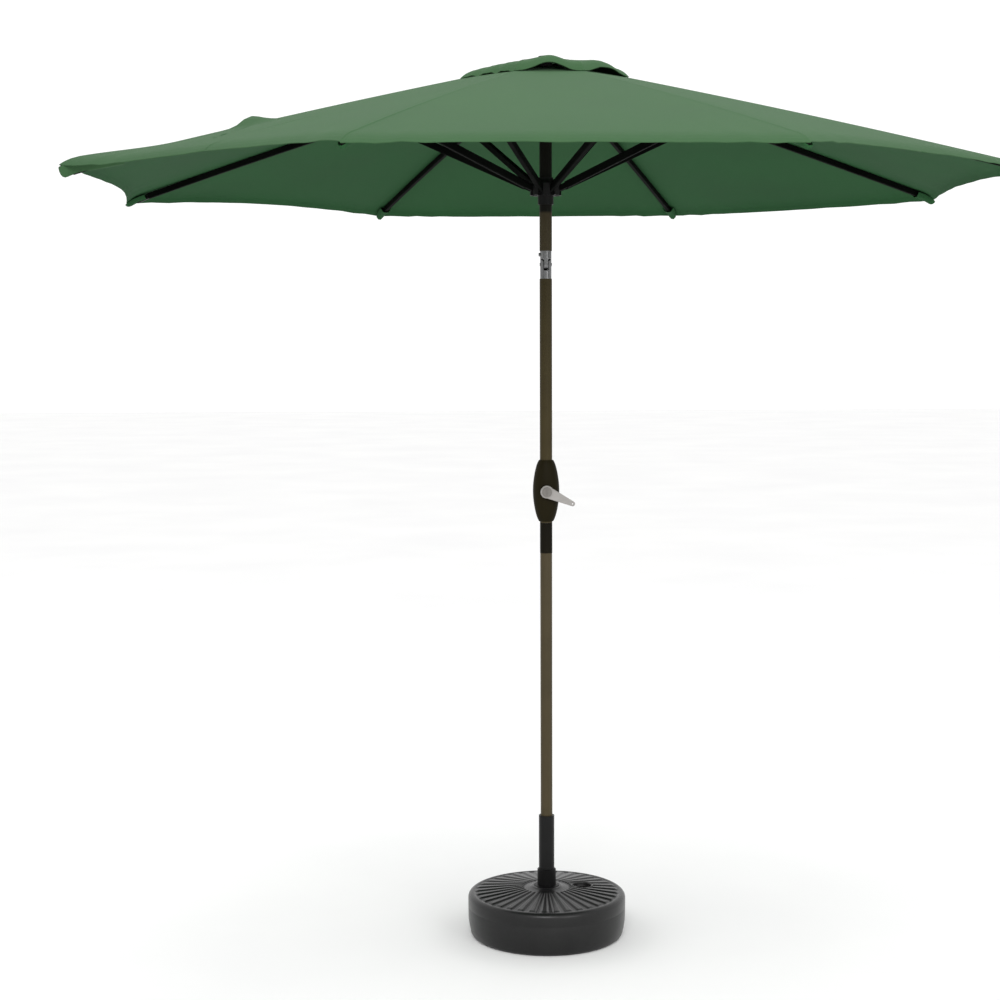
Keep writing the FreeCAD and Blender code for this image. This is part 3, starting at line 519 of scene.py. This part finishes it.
MAIN_INNER = 0.120
NO_EDGE = 0.5                 # moves a piece's "Edge" layer away from every stitch line
FOLDED_SHARE = 0.125          # width left to a gore when the umbrella is shut
FOLDED_VENT = 0.30


def ridge_z(r):
    """Height of the cloth's top face along a rib."""
    run = r - PIVOT_R
    z = PIVOT_Z - RIB_SLOPE * run - RIB_BEND * run * run + CLOTH_OVER_RIB
    return z - TIP_DROP * max(0.0, r - TIP_FROM) ** 2


def bow(u):
    """0 at a rib, 1 half-way to the next."""
    return 4.0 * u * (1.0 - u)


def across_panel(panel, r, z, u):
    """Point on the level chord between rib `panel` and the next, at share u."""
    left, right = rib_azimuth(panel), rib_azimuth(panel + 1)
    x = r * (math.sin(left) * (1 - u) + math.sin(right) * u)
    y = -r * (math.cos(left) * (1 - u) + math.cos(right) * u)
    return Vector((x, y, z))


def cloth_noise(panel, u, r, scale, seed):
    """Smooth noise over a panel. Panels -1 and 7 are one panel, yet each has noise of its own."""
    return noise.noise(Vector((u * scale * 1.3 + 7.1 * panel, r * scale, seed)))


def at_corners(values, panel, u, sharp):
    """A per-rib value in mm, in full at the panel's two ribs and fading between them."""
    left = values[panel % RIB_COUNT] * max(0.0, 1.0 - u * sharp) ** 2
    right = values[(panel + 1) % RIB_COUNT] * max(0.0, 1.0 - (1.0 - u) * sharp) ** 2
    return (left + right) * MM


def puff_height(panel, u, r):
    """Slack fold on one rib: a short steep crown with a crease running out of it."""
    side = panel % RIB_COUNT
    if side not in (PUFF_RIB - 1, PUFF_RIB):
        return 0.0
    share = u if side == PUFF_RIB else 1.0 - u
    away = share * 2.0 * r * math.sin(math.pi / RIB_COUNT)
    crown = PUFF_RISE * math.exp(-((r - PUFF_R) / PUFF_LONG) ** 2 - (away / PUFF_WIDE) ** 2)
    if side == PUFF_RIB - 1:
        return crown
    crease_at = 0.95 * (r - PUFF_R + 0.02)
    along = float(smoothstep(0.88, 0.94, r) - smoothstep(1.12, 1.20, r))
    return crown - CREASE_DEEP * along * math.exp(-((away - crease_at) / CREASE_WIDE) ** 2)


def main_cloth_point(panel, u, r):
    side = panel % RIB_COUNT
    inward = SCALLOPS[side] * MM / CANOPY_R * (r / CANOPY_R) ** 6 * bow(u)
    outer_share = float(smoothstep(CORNER_FROM, CANOPY_R, r))
    reach = at_corners(CORNER_REACH, panel, u, 2.5) * outer_share
    point = across_panel(panel, r * (1.0 - inward) + reach, ridge_z(r), u)
    at_left, at_right = STEEP_PANELS.get(side, (1.0, 1.0))
    point.z += HEM_RISES[side] * MM * (r / CANOPY_R) ** 2 * bow(u) ** (at_left + (at_right - at_left) * u)
    point.z += at_corners(CORNER_LIFT, panel, u, 2.5) * outer_share - CORNER_FALL * reach
    point.z += puff_height(panel, u, r)
    ease = min(1.0, bow(u) * 2.5)
    point.z += ease * 1.6 * MM * cloth_noise(panel, u, r, 3.2, 1.7) * (r / CANOPY_R)
    to_rib = min(u, 1.0 - u)
    near_tip = math.exp(-((CANOPY_R - r) / 0.13) ** 2) * math.exp(-(to_rib / 0.16) ** 2)
    fan = math.sin(to_rib * 62.0 * (1.0 + 0.3 * math.sin(panel * 2.1)) + panel)
    point.z += ease * near_tip * 2.6 * MM * fan
    hem_near = math.exp(-((CANOPY_R - r) / 0.05) ** 2)
    point.z += ease * hem_near * 1.4 * MM * cloth_noise(panel, u, 0.0, 9.0, 4.0)
    return point


VENT_INNER = 0.066
VENT_OUTER = 0.243
VENT_TOP_Z = 2.4974           # where the vent's slope meets the mast's axis
VENT_SLOPE = 0.15
VENT_TURN_FROM = 0.205        # from here the vent's hem turns down
VENT_TURN = 19.9
VENT_ARCHES = (23, 18, 10, 8, 8, 8, 4, 2)     # rise of each panel's vent hem, mm, front panel first
VENT_PEAKS = (3.4, 1.9, 1.3, 1.2, 1.2, 1.2, 1.2, 1.2)  # over 1, the arch is narrower than its panel
VENT_LEAN = (1.8, 0, 0, 0, 0, 0, 0, 0)        # over 0, the arch leans to the panel's left
VENT_RIPPLES = (0.3, 0.5, 0.8, 1.0, 1.0, 1.0, 1.6, 2.4)       # small waves in each hem, mm
VENT_REACH = (0, 0, 0, 0, 0, 0, 5, 16)        # how far the vent's corners run past the rest, mm
VENT_SLUMP = (0.15, 0.20, 0.40, 0.30, 0.20, 0.30, 0.45, 0.50)  # share of a straight fall, at each rib


def vent_cloth_point(panel, u, r):
    share = (r / VENT_OUTER) ** 2.4
    side = panel % RIB_COUNT
    reach = at_corners(VENT_REACH, panel, u, 1.6) * share
    domed = VENT_TOP_Z - VENT_SLOPE * r - VENT_TURN * max(0.0, r - VENT_TURN_FROM) ** 2
    top_z, hem_z = VENT_TOP_Z - VENT_SLOPE * VENT_INNER, VENT_TOP_Z - VENT_SLOPE * VENT_OUTER
    hem_z -= VENT_TURN * (VENT_OUTER - VENT_TURN_FROM) ** 2
    straight = top_z + (hem_z - top_z) * (r - VENT_INNER) / (VENT_OUTER - VENT_INNER)
    slump = VENT_SLUMP[side] * (1.0 - u) + VENT_SLUMP[(panel + 1) % RIB_COUNT] * u
    point = across_panel(panel, r + reach, domed + slump * (straight - domed) - 0.30 * reach, u)
    point.z += VENT_ARCHES[side] * MM * share * bow(u) ** (VENT_PEAKS[side] + VENT_LEAN[side] * (u - 0.5))
    ripple = math.sin(u * 19.0 + side * 1.7) + 0.6 * math.sin(u * 37.0 + side)
    point.z += VENT_RIPPLES[side] * MM * share * share * ripple * min(1.0, 3.0 * bow(u))
    return point


def seam_columns(width, steps):
    """Distances across half a gore, as shares of the panel: fine at the rib seam, then even."""
    seam = [0.0, 1.6 * MM, 3.2 * MM, 4.4 * MM, 5.6 * MM, 9.0 * MM]
    shares = [d / width for d in seam]
    start = shares[-1]
    shares += [start + (0.5 - start) * (s / steps) ** 0.9 for s in range(1, steps + 1)]
    return shares


def gore_piece(name, k, point_of, radii, steps):
    """One gore's sheet, from mid-panel to mid-panel about rib k, with its uv layers."""
    rows, cloth_uv, edge_uv, thick = [], [], [], []
    run = 0.0
    for i, r in enumerate(radii):
        width = 2.0 * r * math.sin(math.pi / RIB_COUNT)
        shares = seam_columns(width, steps)
        columns = [-s for s in shares[:0:-1]] + shares
        step = r - radii[max(0, i - 1)]
        run += math.hypot(step, CLOTH_SLOPE * step)
        from_hem = radii[-1] - r
        hem = float(1.0 - smoothstep(HEM_WIDE - 1.0 * MM, HEM_WIDE + 1.0 * MM, from_hem))
        row, cloth_row, edge_row, thick_row = [], [], [], []
        for s in columns:
            panel, u = (k, s) if s >= 0 else (k - 1, 1.0 + s)
            point = point_of(panel, u, r)
            from_rib = abs(s) * width
            seam = SEAM_LIFT * float(1.0 - smoothstep(SEAM_HALF - 0.8 * MM, SEAM_HALF + 0.8 * MM, from_rib))
            point.z += seam + HEM_LIFT * hem
            row.append(point)
            cloth_row.append((s * width, run))
            edge_row.append((from_rib, from_hem))
            thick_row.append(CLOTH_THICK + seam + HEM_EXTRA * hem)
        rows.append(row)
        cloth_uv.append(cloth_row)
        edge_uv.append(edge_row)
        thick.append(thick_row)
    uvs = {"Cloth": np.array(cloth_uv), "Edge": np.array(edge_uv)}
    # The gore's under faces take the darker cloth: painted shade under the canopy.
    return thin_solid(name, np.array(rows, float), np.array(thick), CLOTH, uvs, SHADED_UNDERSIDE)


def tangent_of(k):
    turn = rib_azimuth(k)
    return (math.cos(turn), math.sin(turn), 0.0)


def radii_between(inner, outer, steps, fine):
    """Even stations, then fine ones through the hem."""
    fine_steps = 7
    even = [inner + (outer - fine - inner) * i / steps for i in range(steps + 1)]
    near = [outer - fine + fine * i / fine_steps for i in range(1, fine_steps + 1)]
    return even + near


POCKET_LONG = 0.070
LONG_POCKET = 0.150           # the pocket under the corner that stands highest
POCKET_NOSE = 20.0 * MM
POCKET_DEEP = 21.0 * MM
POCKET_THICK = 1.0 * MM


def build_tip_pocket(k):
    """Pouch sewn under the hem, that the rib's end sits in."""
    turn = rib_azimuth(k)
    out = Vector((math.sin(turn), -math.cos(turn), 0.0))
    side = Vector(tangent_of(k))
    rows, columns = 17, 17
    # Pockets in the canopy's shade take the darker cloth, as painted shade; the highest one takes the top
    # cloth.
    cloth, long = (CLOTH, LONG_POCKET) if k == PUFF_RIB else (SHADED_UNDERSIDE, POCKET_LONG)
    top = np.zeros((rows, columns, 3))
    uv = np.zeros((rows, columns, 2))
    for i in range(rows):
        t = 1.0 - (1.0 - i / (rows - 1)) ** 1.7
        r = CANOPY_R - long + (long - 0.5 * MM) * t
        share = float(smoothstep(CORNER_FROM, CANOPY_R, r))
        reach = CORNER_REACH[k] * MM * share
        lift = CORNER_LIFT[k] * MM * share - CORNER_FALL * reach
        half = (18.0 - 10.5 * t ** 2.4) * MM
        deep = POCKET_DEEP + (0.25 * CORNER_LIFT[k] - 1.5 * t) * MM + 0.8 * lift
        into_nose = max(0.0, 1.0 - (CANOPY_R - r) / POCKET_NOSE)
        deep *= math.sqrt(1.0 - into_nose ** 2)
        for j in range(columns):
            s = -1.0 + 2.0 * j / (columns - 1)
            across = half * math.copysign(abs(s) ** 1.25, s)
            fall = 0.6 * MM + 0.42 * abs(across) * (r / CANOPY_R)
            drop = deep * (1.0 - abs(s) ** 2.6)
            crease = 0.5 * MM * math.sin(9.0 * s + 2.0 * t + k)
            place = out * (r + reach) + side * across
            top[i, j] = (place.x, place.y, ridge_z(r) + lift - 1.2 * MM - fall - drop + crease)
            uv[i, j] = (across, r)
    thickness = np.full((rows, columns), POCKET_THICK)
    layers = {"Cloth": uv, "Edge": uv + NO_EDGE}
    piece = thin_solid(f"tip_pocket_{k + 1}", top, thickness, cloth, layers)
    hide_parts(f"canopy_gore_{k + 1}")
    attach(piece, f"rib_{k + 1}")


VENT_CAP_R = 0.074
VENT_CAP = (                  # (r, z) of its upper face, flat under the crown's button
    (0.0060, 2.4984), (0.0130, 2.4984), (0.0190, 2.4984), (0.0240, 2.4982), (0.0300, 2.4972),
    (0.0370, 2.4952), (0.0450, 2.4928), (0.0530, 2.4909), (0.0620, 2.4892), (0.0690, 2.4882),
    (VENT_CAP_R, 2.4874),
)
VENT_CAP_THICK = 0.9 * MM


def build_vent_cap():
    """Round of cloth that ties the vent's gores together under the crown's button."""
    rows, cols = len(VENT_CAP), 96
    top, flat = [], []
    for r, z in VENT_CAP:
        for j in range(cols):
            turn = 2.0 * math.pi * j / cols
            wave = 0.6 * MM * math.cos(RIB_COUNT * (turn - rib_azimuth(0))) * (r / VENT_CAP_R) ** 3
            top.append((r * math.sin(turn), -r * math.cos(turn), z + wave))
            flat.append((r * math.sin(turn), r * math.cos(turn)))
    top, flat = np.array(top), np.array(flat)
    under = top - np.array((0.0, 0.0, VENT_CAP_THICK))
    count = rows * cols
    points = np.concatenate([top, under])
    faces = grid_faces(rows, cols, wrap=True) + grid_faces(rows, cols, count, flip=True, wrap=True)
    sharp = []
    for start, turned_over in ((0, True), ((rows - 1) * cols, False)):
        for j in range(cols):
            a, b = start + j, start + (j + 1) % cols
            quad = (a, b, b + count, a + count)
            faces.append(quad if turned_over else quad[::-1])
            sharp += [(a, b), (a + count, b + count)]
    both = np.concatenate([flat, flat])
    layers = {"Cloth": both, "Edge": both + NO_EDGE}
    piece = mesh_object("vent_cap", points, faces, CLOTH, layers, sharp=sharp)
    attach(piece, "mast")


def build_canopy():
    main_radii = radii_between(MAIN_INNER, CANOPY_R, 58, 0.030)
    vent_radii = radii_between(VENT_INNER, VENT_OUTER, 16, 0.022)
    for k in range(RIB_COUNT):
        body, joint, node = f"rib_{k + 1}", f"rib_{k + 1}_fold", f"canopy_gore_{k + 1}"
        for label, point_of, radii, steps, keep in (
            ("main", main_cloth_point, main_radii, 20, FOLDED_SHARE),
            ("vent", vent_cloth_point, vent_radii, 12, FOLDED_VENT),
        ):
            piece = gore_piece(f"canopy_{label}_{k + 1}", k, point_of, radii, steps)
            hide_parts(node)
            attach(piece, body)
            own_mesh(piece)
        build_tip_pocket(k)
    build_vent_cap()


# ---------------------------------------------------------------- knuckle
WASHER_IN_R, WASHER_OUT_R = 3.3 * MM, 15.0 * MM
WASHER_NEAR, WASHER_FAR = 5.8 * MM, 7.2 * MM      # its faces, from the middle of the tongue
PAD_HALF_X, PAD_HALF_Y = 7.2 * MM, 13.5 * MM
PAD_TOP, PAD_BOTTOM = 15.7 * MM, 16.8 * MM        # below the knuckle's pin


def build_fork_liner():
    """Friction washers on both sides of the tongue, and a pad under it."""
    pivot = hinge_place("canopy_tilt")
    ring = [(WASHER_IN_R, WASHER_NEAR), (WASHER_OUT_R, WASHER_NEAR)]
    ring += [(WASHER_OUT_R, WASHER_FAR), (WASHER_IN_R, WASHER_FAR), (WASHER_IN_R, WASHER_NEAR)]
    for side, label in ((1, "right"), (-1, "left")):
        outline = [(r, side * x) for r, x in ring]
        washer = lathe(f"fork_washer_{label}", outline, BLACK_PLASTIC, 64)
        washer.data.transform(Matrix.Translation(pivot) @ Matrix.Rotation(math.pi / 2, 4, "Y"))
        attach(washer, "upper_pole")
    corners = ((-1, -1), (1, -1), (1, 1), (-1, 1))
    levels = (pivot.z - PAD_BOTTOM, pivot.z - PAD_TOP)
    points = [(x * PAD_HALF_X, y * PAD_HALF_Y, z) for z in levels for x, y in corners]
    faces = [(3, 2, 1, 0), (4, 5, 6, 7), (0, 1, 5, 4), (1, 2, 6, 5), (2, 3, 7, 6), (3, 0, 4, 7)]
    pad = mesh_object("fork_pad", points, faces, BLACK_PLASTIC, smooth=False)
    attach(pad, "upper_pole")


def build_button_spring():
    """Coil behind the tilt button, that shortens when the button is pressed."""
    low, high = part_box("button_spring")
    middle = (low + high) / 2
    wire = 0.5 * MM
    coil = (high.z - low.z) / 2 - wire
    turns, sides = 4, 8
    steps = 24 * turns
    points = []
    for i in range(steps + 1):
        turn = 2.0 * math.pi * turns * i / steps
        out = Vector((0.0, math.cos(turn), math.sin(turn)))
        x = low.x + wire + (high.x - low.x - 2 * wire) * i / steps
        for j in range(sides):
            around = 2.0 * math.pi * j / sides
            centre = Vector((x + wire * math.sin(around), middle.y, middle.z))
            points.append(centre + out * (coil + wire * math.cos(around)))
    faces = grid_faces(steps + 1, sides, wrap=True, flip=True)
    faces.append(tuple(range(sides)))
    faces.append(tuple(range(steps * sides, steps * sides + sides))[::-1])
    spring = mesh_object("button_coil", points, faces, STEEL)
    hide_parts("button_spring")
    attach(spring, "mast")
    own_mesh(spring)


# ---------------------------------------------------------------- base
TANK_R = 0.227
STEM_HOLE_R = 0.0271
WELL_R = 0.027                        # recess that the filler plug sits in
WELL_FLOOR_Z = 0.120
FILLER_R = 19.0 * MM                  # the neck that goes down from the recess
FILLER_END_Z = 0.104
TANK_SHOULDER_Z = 0.124
TANK_TOP_Z = 0.139
CONE_IN = (0.060, TANK_TOP_Z - 2.0 * MM)          # the fluted cone's (r, z), from the collar
CONE_OUT = (TANK_R - 24 * MM, TANK_SHOULDER_Z - 2.5 * MM)
RIM_R = 15 * MM
FLUTE_COUNT = 36
FLUTE_RISE = 3.6 * MM
FLUTE_IN, FLUTE_OUT = 0.064, 0.207
FLUTE_FADE = 0.007


def between(a, b, t):
    """Point t of the way from a to b."""
    return tuple(p + (q - p) * t for p, q in zip(a, b))


def tank_outline():
    """(r, z) from the collar out over the top, down the side and in under the foot."""
    top = TANK_TOP_Z
    hole = [(STEM_HOLE_R, 0.1302), (STEM_HOLE_R, top), (0.036, top)]
    lip = [(0.0365, top + 2.6 * MM), (0.0375, top + 3.2 * MM), (0.041, top + 2.9 * MM)]
    lip += [(0.0435, top + 1.2 * MM), (0.0465, top), (0.052, top - 1.0 * MM)]
    cone_steps, rim_steps = 36, 8
    cone = [between(CONE_IN, CONE_OUT, i / cone_steps) for i in range(cone_steps + 1)]
    rim = [(TANK_R - 20 * MM, TANK_SHOULDER_Z - 1.6 * MM)]
    rim.append((TANK_R - RIM_R - 2 * MM, TANK_SHOULDER_Z - 0.3 * MM))
    for i in range(rim_steps + 1):
        turn = math.radians(90 - i * 90 / rim_steps)
        drop = RIM_R * (1 - math.sin(turn))
        rim.append((TANK_R - RIM_R * (1 - math.cos(turn)), TANK_SHOULDER_Z - drop))
    wall = [(TANK_R, 0.100), (TANK_R, 0.0865), (TANK_R - 0.5 * MM, 0.0852), (TANK_R - 0.1 * MM, 0.0838)]
    wall += [(TANK_R - 0.2 * MM, 0.066), (TANK_R - 0.8 * MM, 0.046), (TANK_R - 4 * MM, 0.026)]
    foot = [(0.2195, 0.010), (0.2165, 0.0045), (0.212, 0.0012), (0.206, 0.0)]
    underside = [(0.150, 0.0), (0.100, 0.0), (STEM_HOLE_R, 0.0)]
    return hole + lip + cone + rim + wall + foot + underside


def tank_height(r):
    """Height of the tank's plain top at radius r."""
    return between(CONE_IN, CONE_OUT, (r - CONE_IN[0]) / (CONE_OUT[0] - CONE_IN[0]))[1]


def flute_height(turn, r):
    """Raised flutes, rounded over and faded at both ends."""
    phase = (turn / (2 * math.pi) * FLUTE_COUNT) % 1.0
    off = abs(phase - 0.5) * 2.0
    body = float(1.0 - smoothstep(0.40, 0.66, off))
    fade_in = float(smoothstep(FLUTE_IN, FLUTE_IN + FLUTE_FADE, r))
    fade_out = float(1.0 - smoothstep(FLUTE_OUT - FLUTE_FADE, FLUTE_OUT, r))
    return FLUTE_RISE * body * fade_in * fade_out


def build_tank(well, well_r):
    """Tank, with flutes that stop short of a round hole for the filler at well, a 2-D place."""
    steps = FLUTE_COUNT * 14
    points, faces = [], []
    outline = tank_outline()
    for r, z in outline:
        on_top = z > 0.118 and r > 0.050
        for s in range(steps):
            turn = 2 * math.pi * s / steps
            x, y = r * math.cos(turn), r * math.sin(turn)
            lift = 0.0
            if on_top:
                gap = (Vector((x, y)) - well).length
                lift = flute_height(turn, r) * float(smoothstep(well_r + 1 * MM, well_r + 7 * MM, gap))
            points.append((x, y, z + lift))
    for face in grid_faces(len(outline) + 1, steps, wrap=True, flip=True):
        face = tuple(v % (len(outline) * steps) for v in face)
        centre = sum((Vector(points[v]) for v in face), Vector()) / 4
        if centre.z > 0.11 and (centre.to_2d() - well).length < well_r - 1 * MM:
            continue
        faces.append(face)
    tank = mesh_object("base_tank", points, faces, BASE_PLASTIC)
    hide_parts("base_shell")
    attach(tank, "base")


def build_filler_well(well, well_r):
    """Raised rim round the filler, the recess inside it and the neck down from its floor."""
    ring = tank_height(well.length)
    rim = [(2.5, -5.0), (2.0, 0.6), (0.6, 1.7), (-1.0, 1.2), (-2.2, -0.5)]
    outline = [(well_r + out * MM, ring + up * MM) for out, up in rim]
    outline += [(WELL_R, ring - 2.6 * MM), (WELL_R, WELL_FLOOR_Z + 0.6 * MM)]
    outline.append((WELL_R - 0.8 * MM, WELL_FLOOR_Z))
    outline += [(FILLER_R + 0.6 * MM, WELL_FLOOR_Z), (FILLER_R, WELL_FLOOR_Z - 0.7 * MM)]
    outline += [(FILLER_R, FILLER_END_Z + 0.5 * MM), (FILLER_R + 2 * MM, FILLER_END_Z)]
    piece = lathe("filler_well", outline, BASE_PLASTIC, 72, tuple(well))
    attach(piece, "base")


def build_base():
    plug_low, plug_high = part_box("filler_plug")
    well = ((plug_low + plug_high) / 2).to_2d()
    well_r = WELL_R + 2.6 * MM
    build_tank(well, well_r)
    build_filler_well(well, well_r)


# ---------------------------------------------------------------- stage, light and camera
VIEW_BEARING = math.radians(3.10)     # the canopy is turned this far from square to the camera
VIEW_YAW = math.radians(1.396)
VIEW_ROLL = math.radians(0.20)
VIEW_DISTANCE = 5.385
VIEW_HEIGHT = 1.7185
VIEW_PITCH = math.radians(-4.865)
VIEW_LENS = 68.37


def build_floor():
    size = 40.0
    corners = [(-size, -size, 0), (size, -size, 0), (size, size, 0), (-size, size, 0)]
    floor = mesh_object("floor", corners, [(0, 1, 2, 3)], floor_paint(), smooth=False)


def soft_light(name, place, target, size, power):
    data = bpy.data.lights.new(name, "AREA")
    data.shape = "DISK"
    data.size = size
    data.energy = power
    light = bpy.data.objects.new(name, data)
    light.location = place
    light.rotation_euler = (Vector(target) - Vector(place)).to_track_quat("-Z", "Y").to_euler()
    bpy.context.scene.collection.objects.link(light)


def build_light():
    world = bpy.data.worlds.new("studio")
    world.use_nodes = True
    background = world.node_tree.nodes["Background"]
    background.inputs["Color"].default_value = (1.0, 1.0, 1.0, 1.0)
    background.inputs["Strength"].default_value = 1.10
    bpy.context.scene.world = world
    bpy.context.scene.view_settings.view_transform = "Standard"
    soft_light("key", (-0.6, -5.8, 4.4), (0, 0, 1.6), 2.2, 150)
    soft_light("fill", (2.8, -4.8, 2.6), (0, 0, 0.8), 2.5, 50)
    soft_light("top", (0.0, 1.0, 6.0), (0, 0, 2.0), 4.0, 60)


def build_camera():
    data = bpy.data.cameras.new("camera")
    data.lens = VIEW_LENS
    data.sensor_width = 36.0
    data.clip_end = 200.0
    camera = bpy.data.objects.new("camera", data)
    camera.location = (
        -VIEW_DISTANCE * math.sin(VIEW_BEARING), -VIEW_DISTANCE * math.cos(VIEW_BEARING), VIEW_HEIGHT
    )
    turn = Euler((math.pi / 2 + VIEW_PITCH, 0.0, -(VIEW_BEARING - VIEW_YAW))).to_matrix()
    camera.rotation_euler = (turn @ Matrix.Rotation(-VIEW_ROLL, 3, "Z")).to_euler()
    bpy.context.scene.collection.objects.link(camera)
    bpy.context.scene.camera = camera


build_camera()
build_light()
build_floor()
paint_nodes()
build_canopy()
build_fork_liner()
build_button_spring()
build_base()
